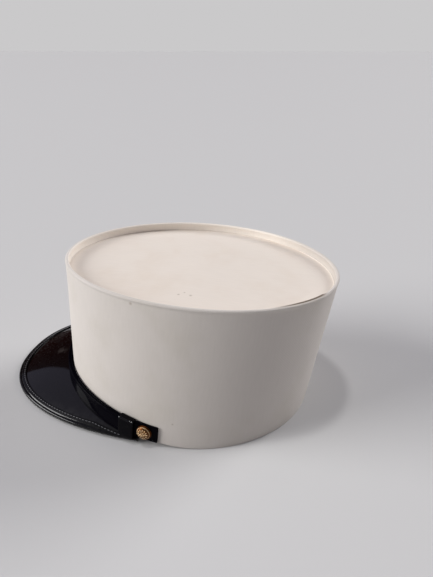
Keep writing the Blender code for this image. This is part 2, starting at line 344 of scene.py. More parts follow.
# %% [markdown]
# ## Drawing flat patterns
#
# A flat pattern is a grid of quads. Each row of the grid is one section of the piece, and the
# points of a row run once round that section, with the first one repeated at the end. After the
# wrap the repeated points are merged, the open ends are filled and the faces are turned outwards.
# The pattern's own lengths are kept as a UV map in metres, which the weave follows later.

# %% Helpers for flat patterns
MERGE_DISTANCE = 1e-6
CREASE_ANGLE = math.radians(40)


def grid_mesh(name, rows):
    """Mesh of quads through rows of points, all of the same length."""
    count = len(rows[0])
    faces = []
    for i in range(len(rows) - 1):
        for j in range(count - 1):
            corner = i * count + j
            faces.append((corner, corner + 1, corner + count + 1, corner + count))
    mesh = bpy.data.meshes.new(name)
    mesh.from_pydata([point for row in rows for point in row], [], faces)
    return mesh


def close_mesh(mesh):
    """Merges repeated points, fills open ends, turns the faces outwards and shades them smooth."""
    work = bmesh.new()
    work.from_mesh(mesh)
    bmesh.ops.remove_doubles(work, verts=work.verts, dist=MERGE_DISTANCE)
    bmesh.ops.holes_fill(work, edges=[edge for edge in work.edges if edge.is_boundary])
    bmesh.ops.recalc_face_normals(work, faces=work.faces)
    open_edges = sum(not edge.is_manifold for edge in work.edges)
    work.to_mesh(mesh)
    work.free()
    mesh.shade_smooth()
    mesh.set_sharp_from_angle(angle=CREASE_ANGLE)
    return open_edges


print("edges sharper than", round(math.degrees(CREASE_ANGLE)), "degrees stay sharp")

# %% Helpers that wrap a pattern round the crown
MEAN_RADIUS = (BASE_LENGTH + BASE_WIDTH) / 4
MEAN_HEIGHT = (FRONT_HEIGHT + REAR_HEIGHT) / 2


def crown_mesh(name, rows, material=None):
    """Wraps rows of (angle, rise, offset, out) points round the crown."""
    flat = grid_mesh(name, [[(angle, offset, out) for angle, _, offset, out in row] for row in rows])
    points = [point for row in rows for point in row]
    rise = flat.attributes.new("rise", "FLOAT", "POINT")
    rise.data.foreach_set("value", [point[1] for point in points])
    lengths = flat.uv_layers.new(name="UVMap")
    for loop in flat.loops:
        angle, share, offset, _ = points[loop.vertex_index]
        lengths.data[loop.index].uv = (angle * MEAN_RADIUS, share * MEAN_HEIGHT + offset)
    return run_tree(flat, CROWN_TREE, {"Material": material})


def on_crown(points):
    """Places single (angle, rise, offset, out) points, which need no faces, on the crown."""
    return [vertex.co.copy() for vertex in crown_mesh("points", [points]).vertices]


print("one turn of the wall is about", round(2 * math.pi * MEAN_RADIUS / MM), "mm")


# %% Helpers for steps and angles
def between(start, end, steps):
    """Evenly spaced values from start to end, both included."""
    return [start + (end - start) * i / steps for i in range(steps + 1)]


def smooth_step(low, high, value):
    """Rises smoothly from 0 at low to 1 at high. Where high is the smaller one, it falls instead."""
    share = min(max((value - low) / (high - low), 0.0), 1.0)
    return share * share * (3 - 2 * share)


def angle_at(forward):
    """Angle on the wearer's left of a point this far in front of the bottom oval's middle."""
    return -math.asin(forward / (BASE_LENGTH / 2))


def mirrored(angle):
    """Angle of the same place on the wearer's other side."""
    return -math.pi - angle


print("the buttons sit at", round(math.degrees(angle_at(BUTTON_FORWARD)), 1), "degrees round the crown")

# %% [markdown]
# ## Colours
#
# Colours are given as sRGB hex values. Blender's sockets want linear light, so one
# function converts them.


# %% The colour helper
def colour(hex_value):
    """Linear RGBA of an sRGB hex value such as 'e6ddd2'."""
    channels = [int(hex_value[i : i + 2], 16) / 255 for i in (0, 2, 4)]
    linear = [c / 12.92 if c <= 0.04045 else ((c + 0.055) / 1.055) ** 2.4 for c in channels]
    return (*linear, 1.0)


def new_material(name):
    """Material with a Principled shader. Returns the material, its tree and the shader."""
    material = bpy.data.materials.new(name)
    material.use_nodes = True
    return material, material.node_tree, material.node_tree.nodes["Principled BSDF"]


print("cotton white is", [round(c, 3) for c in colour("dfd5cb")[:3]])

# %% [markdown]
# ## Cotton drill
#
# The crown is covered in white cotton drill, a twill: each thread steps one place sideways from
# row to row, which gives fine slanting ribs. Real ribs are about 0.5 mm apart. They would vanish in
# a picture of this size, so they are drawn 0.9 mm apart. A second, softer pattern stands for slubs,
# the thicker stretches of yarn, and a third, very broad one for the uneven ageing of the white.
#
# Use has marked the white too, with a few small stains. Light and shade are also painted into the
# wall's colour: it is painted lighter inside the rim, as painted light, and a dark tone is painted
# in a fold of the rim and at the back of the inside, as painted shade. A texture can't know where
# these places are, so the wall's mesh says it through two attributes, one for the painted light and
# one for the painted shade. The mesh of the top has neither, and there both read as 0. Each stain
# is a small ball of a darker tone, which shows where it meets the cloth.

# %% What the cotton looks like
TWILL_PITCH = 0.9 * MM
SLUB_LENGTH = 14 * MM
SLUB_WIDTH = 1.4 * MM
SLUB_SHADES = (0.985, 1.01)
SLUB_RELIEF = 1.2
WEAVE_HEIGHT = 0.03 * MM
AGEING_SIZE = 45 * MM
AGEING_RANGE = (0.42, 0.75)
# a Wave texture of scale 1 repeats its bands at this distance
WAVE_PERIOD = 2 * math.pi / 20
# painted light: this lighter tone is painted on the cotton inside the rim
PAINTED_LIGHT_TONE = "fbf3e9"
# painted shade: this dark tone is painted in the fold of the rim and at the back of the inside
PAINTED_SHADE_TONE = "7d7062"
STAIN_TONE = "8f7d6b"
STAIN_STRENGTH = 0.6
# place and radius in mm of each small mark on the cloth
WALL_STAINS = [(75.7, 1.0, 111.7, 1.6), (86.7, 28.6, 21.8, 1.0)]
TOP_STAINS = [(49.8, 26.0, 107.4, 1.3), (46.0, 29.3, 107.3, 1.0), (49.0, 34.5, 107.1, 1.5)]
print("twill ribs are", round(TWILL_PITCH / MM, 1), "mm apart")


# %% The colour of the cotton
def cotton_colour(tree, place, base, aged, stains):
    """Socket with a colour that goes from base to aged in broad patches, with stains, and with the painted
    light and painted shade that the mesh's attributes ask for.
    """
    ageing = add_node(
        tree,
        "ShaderNodeTexNoise",
        {},
        {"Vector": place, "Scale": 1 / AGEING_SIZE, "Detail": 3.0, "Roughness": 0.6},
    )
    aged_share = add_node(
        tree,
        "ShaderNodeMapRange",
        {"interpolation_type": "SMOOTHSTEP"},
        {"Value": ageing, "From Min": AGEING_RANGE[0], "From Max": AGEING_RANGE[1]},
    )
    cloth = add_node(
        tree,
        "ShaderNodeMix",
        {"data_type": "RGBA"},
        {0: aged_share.outputs["Result"], 6: colour(base), 7: colour(aged)},
    )
    # painted light inside the rim, then painted shade in the fold and at the back of the inside
    for label, tone in (("painted_light", PAINTED_LIGHT_TONE), ("crease", PAINTED_SHADE_TONE)):
        marked = add_node(tree, "ShaderNodeAttribute", {"attribute_name": label})
        cloth = add_node(
            tree,
            "ShaderNodeMix",
            {"data_type": "RGBA"},
            {0: marked.outputs["Fac"], 6: cloth.outputs[2], 7: colour(tone)},
        )
    for *centre, radius in stains:
        centre = [number * MM for number in centre]
        away = add_node(
            tree, "ShaderNodeVectorMath", {"operation": "DISTANCE"}, {0: place, 1: centre}
        )
        depth = add_node(
            tree,
            "ShaderNodeMapRange",
            {},
            {
                "Value": away.outputs["Value"],
                "From Min": radius * MM,
                "From Max": 0.0,
                "To Max": STAIN_STRENGTH,
            },
        )
        cloth = add_node(
            tree,
            "ShaderNodeMix",
            {"data_type": "RGBA"},
            {0: depth, 6: cloth.outputs[2], 7: colour(STAIN_TONE)},
        )
    return cloth.outputs[2]


# %% Cotton drill material
def make_cotton(name, base, aged, along_uv, stains):
    """Cotton drill. Its weave follows the cloth's own lengths where the piece has them as UV."""
    material, tree, shader = new_material(name)
    coordinates = add_node(tree, "ShaderNodeTexCoord")
    place = coordinates.outputs["UV" if along_uv else "Object"]
    ribs = add_node(
        tree,
        "ShaderNodeTexWave",
        {"bands_direction": "DIAGONAL", "wave_profile": "SIN"},
        {"Vector": place, "Scale": WAVE_PERIOD / TWILL_PITCH, "Distortion": 0.6, "Detail": 1.0},
    )
    stretched = (1 / SLUB_WIDTH, 1 / SLUB_LENGTH, 1 / SLUB_WIDTH)
    stretch = add_node(tree, "ShaderNodeMapping", {}, {"Vector": place, "Scale": stretched})
    slubs = add_node(tree, "ShaderNodeTexNoise", {}, {"Vector": stretch, "Scale": 1.0, "Detail": 2.0})
    cloth = cotton_colour(tree, coordinates.outputs["Object"], base, aged, stains)
    darkest, lightest = SLUB_SHADES
    yarn = add_node(
        tree,
        "ShaderNodeMapRange",
        {},
        {"Value": slubs, "From Min": 0.3, "From Max": 0.7, "To Min": darkest, "To Max": lightest},
    )
    shaded = add_node(
        tree, "ShaderNodeVectorMath", {"operation": "SCALE"}, {0: cloth, "Scale": yarn.outputs["Result"]}
    )
    relief = add_node(
        tree,
        "ShaderNodeMath",
        {"operation": "MULTIPLY_ADD"},
        {0: slubs, 1: SLUB_RELIEF, 2: ribs.outputs["Fac"]},
    )
    bump = add_node(
        tree, "ShaderNodeBump", {}, {"Height": relief, "Distance": WEAVE_HEIGHT, "Strength": 0.7}
    )
    tree.links.new(shaded.outputs[0], shader.inputs["Base Color"])
    tree.links.new(bump.outputs[0], shader.inputs["Normal"])
    shader.inputs["Roughness"].default_value = 0.9
    shader.inputs["Specular IOR Level"].default_value = 0.25
    shader.inputs["Sheen Weight"].default_value = 0.08
    return material


WALL_COTTON = make_cotton("cotton_drill_wall", "d0c9c2", "cbc4bb", True, WALL_STAINS)
# the top's cotton is the wall's cotton painted lighter, as painted light where it faces up
LIGHTER_TOP_COTTON = make_cotton("cotton_drill_top_painted_lighter", "e1d7cc", "ddd1c4", False, TOP_STAINS)
print("cotton materials:", WALL_COTTON.name, LIGHTER_TOP_COTTON.name)

# %% [markdown]
# ## Patent leather
#
# Patent leather is hide under a thick, glassy coat of varnish. Two layers give that look: a nearly
# black base, and the shader's coat on top with a sharp reflection. The varnish was poured, so it
# waves very slightly, and years of handling leave a fine haze that softens the base highlight.
#
# Only the stiff peak keeps a full coat, apart from one scuff, a small place where the varnish is
# rubbed to a dull grey. The other pieces have been flexed and rubbed, so their coat is weaker. Seen
# at a low angle, though, a shader's smooth surface turns into a mirror however weak its highlight
# is made. The worn strap and loops don't, so they have a very low IOR as well. The one place on a
# loop that wear has polished is its tight corner on top of the strap, which the mesh marks with the
# attribute bend.

# %% Wear on the patent leather
VARNISH_WAVE = 9 * MM
HAZE_SIZE = 6 * MM
HAZE_ROUGHNESS = (0.22, 0.38)
SCUFF_PLACE = (7.8 * MM, -102 * MM, 12.1 * MM)
SCUFF_RADIUS = 9 * MM
SCUFF_MARK = 3 * MM
SCUFF_SPREAD = 0.45
SCUFF_RANGE = (0.66, 0.86)
SCUFF_TONE = "322e2c"
VARNISH_IOR = 1.5
DULL_IOR = 1.05
LOOP_COAT = 0.15


def scuff_share(tree, place, middle):
    """Node that gives 1 where the varnish is rubbed off round a place, and 0 elsewhere."""
    away = add_node(
        tree, "ShaderNodeVectorMath", {"operation": "DISTANCE"}, {0: place, 1: middle}
    ).outputs["Value"]
    near = add_node(
        tree, "ShaderNodeMapRange", {}, {"Value": away, "From Min": SCUFF_RADIUS, "From Max": 0.0}
    )
    marks = add_node(
        tree, "ShaderNodeTexNoise", {}, {"Vector": place, "Scale": 1 / SCUFF_MARK, "Detail": 2.0}
    )
    rubbed = add_node(
        tree, "ShaderNodeMath", {"operation": "MULTIPLY_ADD"}, {0: near, 1: SCUFF_SPREAD, 2: marks}
    )
    start, full = SCUFF_RANGE
    share = add_node(
        tree, "ShaderNodeMapRange", {}, {"Value": rubbed, "From Min": start, "From Max": full}
    )
    return add_node(
        tree, "ShaderNodeMath", {"operation": "MULTIPLY", "use_clamp": True}, {0: share, 1: near}
    )


def polish_bends(material, least):
    """Lets the coat grow from its least weight to 1 where the mesh says that the leather bends."""
    tree = material.node_tree
    bent = add_node(tree, "ShaderNodeAttribute", {"attribute_name": "bend"}).outputs["Fac"]
    coat = add_node(tree, "ShaderNodeMapRange", {}, {"Value": bent, "To Min": least})
    tree.links.new(coat.outputs["Result"], tree.nodes["Principled BSDF"].inputs["Coat Weight"])


print("the scuff is at most", round(2 * SCUFF_RADIUS / MM), "mm across")


# %% Patent leather material
def make_patent(name, base, wave_height, coat, ior=VARNISH_IOR, scuff_place=None):
    """Patent leather with a coat of this weight."""
    material, tree, shader = new_material(name)
    place = add_node(tree, "ShaderNodeTexCoord").outputs["Object"]
    wave = add_node(
        tree, "ShaderNodeTexNoise", {}, {"Vector": place, "Scale": 1 / VARNISH_WAVE, "Detail": 1.0}
    )
    haze = add_node(
        tree,
        "ShaderNodeTexNoise",
        {},
        {"Vector": place, "Scale": 1 / HAZE_SIZE, "Detail": 6.0, "Roughness": 0.7},
    )
    clear, hazy = HAZE_ROUGHNESS
    dull = add_node(
        tree,
        "ShaderNodeMapRange",
        {},
        {"Value": haze, "From Min": 0.35, "From Max": 0.75, "To Min": clear, "To Max": hazy},
    )
    bump = add_node(
        tree, "ShaderNodeBump", {}, {"Height": wave, "Distance": wave_height, "Strength": 1.0}
    )
    tree.links.new(dull.outputs["Result"], shader.inputs["Roughness"])
    tree.links.new(bump.outputs[0], shader.inputs["Normal"])
    tree.links.new(bump.outputs[0], shader.inputs["Coat Normal"])
    shader.inputs["Base Color"].default_value = colour(base)
    if scuff_place:
        bare = scuff_share(tree, place, scuff_place)
        tint = add_node(
            tree,
            "ShaderNodeMix",
            {"data_type": "RGBA"},
            {0: bare, 6: colour(base), 7: colour(SCUFF_TONE)},
        )
        tree.links.new(tint.outputs[2], shader.inputs["Base Color"])
    shader.inputs["Specular IOR Level"].default_value = 0.1
    shader.inputs["IOR"].default_value = ior
    shader.inputs["Coat Weight"].default_value = coat
    shader.inputs["Coat Roughness"].default_value = 0.04
    return material


PEAK_PATENT = make_patent("patent_leather_peak", "060505", 0.02 * MM, 1.0, scuff_place=SCUFF_PLACE)
BINDING_PATENT = make_patent("patent_leather_binding", "060506", 0.02 * MM, 0.45)
STRAP_PATENT = make_patent("patent_leather_strap", "06050a", 0.04 * MM, 0.06, DULL_IOR)
LOOP_PATENT = make_patent("patent_leather_loop", "060508", 0.02 * MM, LOOP_COAT, DULL_IOR)
polish_bends(LOOP_PATENT, LOOP_COAT)
for material in (PEAK_PATENT, BINDING_PATENT, STRAP_PATENT, LOOP_PATENT):
    print("patent material:", material.name)

# %% [markdown]
# ## Gilt brass and waxed thread
#
# The buttons are stamped brass with a thin gold wash. A metal's colour is the colour of its
# highlights, so the raised work is a pale, warm gold. The ground between it, the dome and its lip,
# is dark brown, partly for dirt in the hollows and partly as painted shade, and the mesh tells the
# two apart through the attribute raised. A noise about a millimetre across gives the gold its worn
# and dull spots. The peak's binding is sewn with black waxed thread, greyed by dust and rougher
# than the varnish round it.

# %% Gilt brass material
GILT_TONE = "ffe2b4"
WORN_GILT_TONE = "d8a468"
# the ground's dark tone is partly dirt and partly painted shade round the relief and at the lip
SHADED_GROUND_TONE = "5c3416"
GILT_ROUGHNESS = (0.26, 0.45)
TARNISH_SIZE = 1.2 * MM


def make_gilt():
    material, tree, shader = new_material("gilt_stamped_brass")
    place = add_node(tree, "ShaderNodeTexCoord").outputs["Object"]
    tarnish = add_node(
        tree, "ShaderNodeTexNoise", {}, {"Vector": place, "Scale": 1 / TARNISH_SIZE, "Detail": 3.0}
    )
    share = add_node(
        tree, "ShaderNodeMapRange", {}, {"Value": tarnish, "From Min": 0.45, "From Max": 0.7}
    )
    tint = add_node(
        tree,
        "ShaderNodeMix",
        {"data_type": "RGBA"},
        {0: share.outputs["Result"], 6: colour(GILT_TONE), 7: colour(WORN_GILT_TONE)},
    )
    raised = add_node(tree, "ShaderNodeAttribute", {"attribute_name": "raised"})
    gold = add_node(
        tree,
        "ShaderNodeMix",
        {"data_type": "RGBA"},
        {0: raised.outputs["Fac"], 6: colour(SHADED_GROUND_TONE), 7: tint.outputs[2]},
    )
    bright, worn = GILT_ROUGHNESS
    dull = add_node(
        tree,
        "ShaderNodeMapRange",
        {},
        {"Value": tarnish, "From Min": 0.3, "To Min": bright, "To Max": worn},
    )
    tree.links.new(gold.outputs[2], shader.inputs["Base Color"])
    tree.links.new(dull.outputs["Result"], shader.inputs["Roughness"])
    shader.inputs["Metallic"].default_value = 1.0
    return material


GILT = make_gilt()
print("button material:", GILT.name)

# %% Waxed thread material
THREAD_TONES = ("3a393b", "76767a")
THREAD_TWIST = 0.4 * MM


def make_thread():
    material, tree, shader = new_material("waxed_black_thread")
    place = add_node(tree, "ShaderNodeTexCoord").outputs["Object"]
    twist = add_node(tree, "ShaderNodeTexNoise", {}, {"Vector": place, "Scale": 1 / THREAD_TWIST})
    dark, pale = THREAD_TONES
    tint = add_node(
        tree, "ShaderNodeMix", {"data_type": "RGBA"}, {0: twist, 6: colour(dark), 7: colour(pale)}
    )
    tree.links.new(tint.outputs[2], shader.inputs["Base Color"])
    shader.inputs["Roughness"].default_value = 0.45
    return material


THREAD = make_thread()
print("stitch material:", THREAD.name)

# %% [markdown]
# ## Adding a finished piece
#
# Every piece is one object at the origin with its place in its mesh. It rides on the cap's one
# body, gets its material, and hides the imported part that it stands for, where there is one.


# %% The helper that adds a piece
def add_piece(name, mesh, material, node=None):
    open_edges = close_mesh(mesh)
    mesh.materials.clear()
    mesh.materials.append(material)
    piece = bpy.data.objects.new(name, mesh)
    bpy.context.scene.collection.objects.link(piece)
    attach(piece, "root")
    if node:
        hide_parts(node)
    print(f"{name}: {len(mesh.polygons)} faces, {open_edges} open edges")


# %% [markdown]
# ## The crown wall
#
# The wall is card covered in cotton, rolled over at the rim and turned in at the bottom. Its
# section is drawn once: up the inside, round the roll of the rim and down the outside. Cloth drawn
# over card is never quite true, so the outside swells and sinks by a fraction of a millimetre. A
# sewn seam runs up the middle of the back, where the grid is closer so that the seam stays sharp.
# Behind the left side the cotton is pinched into a short fold along the rim. It is drawn into the
# roll of the section as a groove with a raised lip outside it, and fades out towards both ends.

# %% The swell, the seam and the fold of the cotton
RIPPLE = 0.28 * MM
RIPPLES_ROUND = 3.2
RIPPLES_UP = 26.0
# shares of the wall's height between which the cloth comes free and is held again
SWELL_BEGINS = (0.1, 0.3)
SWELL_ENDS = (1.0, 0.9)
SEAM_DEPTH = 0.35 * MM
SEAM_WIDTH = 0.5 * MM
SEAM_ALLOWANCE = 6 * MM
SEAM_SWELL = 0.14 * MM
# round the crown, the fold starts, is at its full height, begins to fade and ends at these angles
FOLD_ANGLES = [math.radians(turn) for turn in (28, 50, 62, 69)]
FOLD_RISE = 1.1 * MM
FOLD_LIP = 0.7 * MM
FOLD_DEPTH = 1.1 * MM
# round the roll of the rim, from 0 outside to 180 degrees inside, the groove lies at this turn
FOLD_TURN = math.radians(95)
FOLD_SPREAD = math.radians(32)


def fold_strength(angle):
    """Share of the fold's full size at an angle round the crown."""
    start, full, fading, end = FOLD_ANGLES
    turned = angle % (2 * math.pi)
    return smooth_step(start, full, turned) * (1 - smooth_step(fading, end, turned))


def cloth_swell(angle, share):
    """How far the cotton stands off the card. It lies flat where the strap and the rim hold it."""
    place = Vector((math.cos(angle), math.sin(angle), 0)) * RIPPLES_ROUND
    place.z = share * MEAN_HEIGHT * RIPPLES_UP
    free = smooth_step(*SWELL_BEGINS, share) * smooth_step(*SWELL_ENDS, share)
    return RIPPLE * noise.noise(place) * free


def seam_relief(angle):
    """Groove of the back seam between the slight swell of its two turned edges."""
    aside = abs(math.remainder(angle - math.pi / 2, 2 * math.pi)) * BASE_WIDTH / 2
    groove = -SEAM_DEPTH * math.exp(-((aside / SEAM_WIDTH) ** 2))
    return groove + SEAM_SWELL * smooth_step(SEAM_ALLOWANCE, SEAM_ALLOWANCE - MM, aside)


print("the fold lies", [round(math.degrees(angle)) for angle in FOLD_ANGLES], "degrees round the rim")

# %% The section of the wall
WALL_STEPS = 300
SEAM_STEPS = 40
SEAM_MARGIN = 2 * MM
FACE_STEPS = 44
INNER_STEPS = 8
RIM_STEPS = 30
HEM = 0.5 * MM
# shares of the wall's height where the flat inside ends, and where the outside starts and ends
INNER_TOP = 0.95
FACE_TOP = 0.97
FACE_FOOT = 0.01


def wall_angles():
    """Once round from the back seam, with closer steps on both sides of it."""
    reach = (SEAM_ALLOWANCE + SEAM_MARGIN) / (BASE_WIDTH / 2)
    start = math.pi / 2
    close = between(0, reach, SEAM_STEPS // 2)
    far = between(reach, 2 * math.pi - reach, WALL_STEPS)[1:-1]
    last = between(2 * math.pi - reach, 2 * math.pi, SEAM_STEPS // 2)
    return [start + turn for turn in close + far + last]


def wall_row(angle):
    """One section: up the inside, round the roll of the rim, down the outside and in at the hem."""
    radius = WALL / 2 + RIM_BULGE
    dip = math.acos(WALL / 2 / radius)
    seam = seam_relief(angle)
    fold = fold_strength(angle)
    row = [(angle, share, 0, -WALL) for share in between(0, INNER_TOP, INNER_STEPS)]
    for turn in reversed(between(-dip, math.pi + dip, RIM_STEPS)):
        groove = FOLD_DEPTH * fold * math.exp(-(((turn - FOLD_TURN) / FOLD_SPREAD) ** 2))
        lip = FOLD_LIP * fold * smooth_step(math.pi / 2, 0, turn)
        reach = radius - groove
        up = reach * math.sin(turn) - radius + FOLD_RISE * fold
        row.append((angle, 1, up, -WALL / 2 + reach * math.cos(turn) + lip))
    for share in between(FACE_TOP, FACE_FOOT, FACE_STEPS):
        row.append((angle, share, 0, cloth_swell(angle, share) + seam))
    row += [(angle, 0, HEM / 2, -HEM / 5), (angle, 0, 0, -HEM)]
    return row + row[:1]


wall_rows = [wall_row(angle) for angle in wall_angles()]
POINTS_IN_ROW = len(wall_rows[0])
print("the wall has", len(wall_rows), "sections of", POINTS_IN_ROW, "points")

# %% [markdown]
# ## Where the wall is painted lighter and where darker
#
# The cotton's material asks the mesh for two numbers at each point. The first is 1 where the cloth
# is painted lighter, as painted light, which is the inside of the wall and the inner part of the rim.
# The second is 1 where a dark tone is painted in the fold, as painted shade. The back of the inside
# is painted a little darker too, so there the painted light fades and a small share of the painted
# shade takes its place. Both are worked out point by point, in the order of the section, and written
# on the mesh as attributes.

# %% Painted light and painted shade on the wall's cotton
# shares of the roll of the rim, from inside to outside
LIGHT_STARTS_FADING = 0.3
LIGHT_FADE = 0.22
FOLD_LIGHT_REACH = 0.4
# the back of the inside, by the sine of the angle round the crown
REAR_RANGE = (0.35, 0.95)
REAR_LOSS = 0.9
# share of painted shade at the back of the inside
REAR_SHADE = 0.22
# turns round the roll of the rim between which the painted shade in the fold begins and ends
FOLD_SHADE_STARTS = (math.radians(50), math.radians(75))
FOLD_SHADE_ENDS = (math.radians(140), math.radians(165))


def painted_light_along_row(angle):
    """How much painted light and how much painted shade each point of a row gets. Both lists fall to 0 on
    top of the rim.
    """
    start = LIGHT_STARTS_FADING + FOLD_LIGHT_REACH * fold_strength(angle)
    end = start + LIGHT_FADE
    roll = [1 - smooth_step(start, end, i / RIM_STEPS) for i in range(RIM_STEPS + 1)]
    row = [1.0] * (INNER_STEPS + 1) + roll
    row += [0.0] * (POINTS_IN_ROW - len(row))
    row[-1] = row[0]
    light_amount = 1 - REAR_LOSS * smooth_step(*REAR_RANGE, math.sin(angle))
    return [light_amount * value for value in row], [(1 - light_amount) * value for value in row]


def fold_shade_along_row():
    """Painted shade: 1 in the fold on top of the rim, and 0 on the rest of a row."""
    roll = []
    for turn in reversed(between(0, math.pi, RIM_STEPS)):
        roll.append(smooth_step(*FOLD_SHADE_STARTS, turn) * (1 - smooth_step(*FOLD_SHADE_ENDS, turn)))
    start = INNER_STEPS + 1
    return [0.0] * start + roll + [0.0] * (POINTS_IN_ROW - start - len(roll))


painted_light_shares = []
painted_shade_shares = []
# each point gets painted shade in the fold, and a share of it at the back of the inside
for angle in wall_angles():
    light_amount, rear_shade_shares = painted_light_along_row(angle)
    painted_light_shares += light_amount
    folded = fold_strength(angle)
    for in_fold, at_rear in zip(fold_shade_along_row(), rear_shade_shares):
        painted_shade_shares.append(max(in_fold * folded, REAR_SHADE * at_rear))

wall = crown_mesh("kepi_wall", wall_rows, WALL_COTTON)
# the two attributes carry the painted light and the painted shade
for label, values in (("painted_light", painted_light_shares), ("crease", painted_shade_shares)):
    wall.attributes.new(label, "FLOAT", "POINT").data.foreach_set("value", values)
add_piece("kepi_wall", wall, WALL_COTTON, "crown_wall")

# %% [markdown]
# ## The sunken top
#
# The top is an oval of card covered in the same cotton and pressed down inside the rim. Its cotton
# is painted lighter than the wall's, as painted light. It is built from rings that shrink from the
# wall to the middle. A table gives the height of each ring: the cloth curls up a little where it
# meets the wall, lies in a shallow trough just inside, then rises over the thicker card in the middle.

# %% The sunken top
TOP_STEPS = 220
SEAT_GAP = 0.1 * MM
UNDER_RINGS = (0, 0.3, 0.7, 0.985)
# share of the way to the middle, height above the flat in mm
TOP_RINGS = [
    (0.000, 0.55),
    (0.002, 0.25),
    (0.005, 0.08),
    (0.010, 0.0),
    (0.030, 0.0),
    (0.060, -0.02),
    (0.095, -0.10),
    (0.120, -0.12),
    (0.145, 0.00),
    (0.175, 0.20),
    (0.210, 0.32),
    (0.300, 0.42),
    (0.420, 0.55),
    (0.560, 0.68),
    (0.700, 0.80),
    (0.830, 0.90),
    (0.930, 0.97),
    (0.985, 1.00),
]


def plate_edge(depth):
    turns = between(0, 2 * math.pi, TOP_STEPS)
    return on_crown([(angle, 1, -depth, -(WALL + SEAT_GAP)) for angle in turns])


def top_ring(edge, share, lift):
    middle = sum(edge, Vector()) / len(edge)
    return [point.lerp(middle, share) + Vector((0, 0, lift)) for point in edge]


face_edge = plate_edge(PLATE_DEPTH)
back_edge = plate_edge(PLATE_DEPTH + PLATE_THICKNESS)
upper = [top_ring(face_edge, share, height * MM) for share, height in TOP_RINGS]
under = [top_ring(back_edge, share, 0) for share in UNDER_RINGS]
top = grid_mesh("kepi_top", under[::-1] + upper)
add_piece("kepi_top", top, LIGHTER_TOP_COTTON, "crown_top")

# %% [markdown]
# ## The shape of the peak
#
# Seen from above, the peak's outer edge is a squarish oval. Along each direction square to the
# wall, a search finds how far that edge lies from the wall. The peak is then a set of sections,
# each from under the wall to the edge, slightly bulged like a shallow bowl turned over.

# %% How far the peak reaches, and its middle line
SEARCH_STEPS = 30


def peak_reach(base, outward):
    """Level distance from the wall's bottom edge to the peak's outer edge."""
    near = 0.0
    far = PEAK_FRONT
    for _ in range(SEARCH_STEPS):
        middle = (near + far) / 2
        point = base + outward * middle
        across = abs(point.x) / (BASE_WIDTH / 2 + PEAK_SIDE_SPREAD)
        forward = max(CENTRE_Y - PEAK_END - point.y, 0) / (PEAK_FRONT - PEAK_END)
        inside = across**PEAK_SQUARENESS + forward**PEAK_SQUARENESS < 1
        near, far = (middle, far) if inside else (near, middle)
    return near


class PeakLine:
    """Middle line of the peak at one angle, from under the wall to the outer edge."""

    def __init__(self, base, outward, front_share):
        self.base = base
        self.outward = outward
        self.reach = peak_reach(base, outward)
        self.root_z = base.z - GAP - PEAK_THICKNESS / 2
        edge_z = PEAK_THICKNESS / 2 + GAP + BINDING_THICKNESS + PEAK_TIP_LIFT * (1 - front_share)
        self.drop = self.root_z - edge_z
        self.slant = math.hypot(self.reach, self.drop)

    def point(self, inset, lift):
        """Point a distance in from the outer edge and square off the middle line."""
        share = 1 - inset / self.slant
        bulge = 4 * PEAK_CROWN * share * (1 - share) * self.reach / PEAK_PROJECTION
        point = self.base + self.outward * (self.reach * share + lift * self.drop / self.slant)
        point.z = self.root_z - self.drop * share + bulge + lift * self.reach / self.slant
        return point

    def root(self, inward, lift):
        """Point under the wall, level with the middle line's start."""
        point = self.base - self.outward * inward
        point.z = self.root_z + lift
        return point


print("the peak's outer edge lies", round(PEAK_FRONT / MM, 1), "mm in front of the crown's middle")

# %% Lines round the peak
PROBE_STEPS = 240
PEAK_STEPS = 240


def peak_lines():
    """Lines from one tip of the peak round the front to the other."""
    probe = between(angle_at(PEAK_END), -math.pi / 2, PROBE_STEPS)
    bases = on_crown([(angle, 0, 0, 0) for angle in probe])
    ends = on_crown([(angle, 0, 0, 1) for angle in probe])
    reaches = [peak_reach(base, end - base) for base, end in zip(bases, ends)]
    tip = next(angle for angle, reach in zip(probe, reaches) if reach >= PEAK_TIP_REACH)
    angles = between(tip, mirrored(tip), PEAK_STEPS)
    bases = on_crown([(angle, 0, 0, 0) for angle in angles])
    ends = on_crown([(angle, 0, 0, 1) for angle in angles])
    return [PeakLine(b, e - b, math.sin(a) ** 2) for a, b, e in zip(angles, bases, ends)]


PEAK_LINES = peak_lines()
front_line = PEAK_LINES[PEAK_STEPS // 2]
print("the peak reaches", round(front_line.reach / MM, 1), "mm in front of the wall")

# %% [markdown]
# ## The peak and its binding
#
# The peak is one sheet of stiff leather. A narrower strip of patent leather is folded over its
# edge: it has a rounded bead at the very edge, a pressed groove behind the bead, and ends in a
# cut edge that throws a thin line of light. Towards the tips of the peak the strip gets narrower,
# and its bead and groove shrink with it.

# %% The peak
PEAK_SPAN_STEPS = 30


def peak_row(line):
    half = PEAK_THICKNESS / 2
    insets = between(line.slant, BINDING_THICKNESS + GAP, PEAK_SPAN_STEPS)[1:]
    row = [line.root(WALL, -half), line.root(WALL, half), line.root(0, half)]
    row += [line.point(inset, half) for inset in insets]
    row += [line.point(inset, -half) for inset in reversed(insets)]
    row += [line.root(0, -half)]
    return row + row[:1]


peak = grid_mesh("peak", [peak_row(line) for line in PEAK_LINES])
add_piece("peak_leather", peak, PEAK_PATENT, "peak")

# %% The binding
BEAD_WIDTH = 2.4 * MM
BEAD_HEIGHT = 0.25 * MM
GROOVE_WIDTH = 0.7 * MM
GROOVE_DEPTH = 0.3 * MM
EDGE_ROUND = 0.3 * MM
BEAD_STEPS = 10
LEG_STEPS = 22


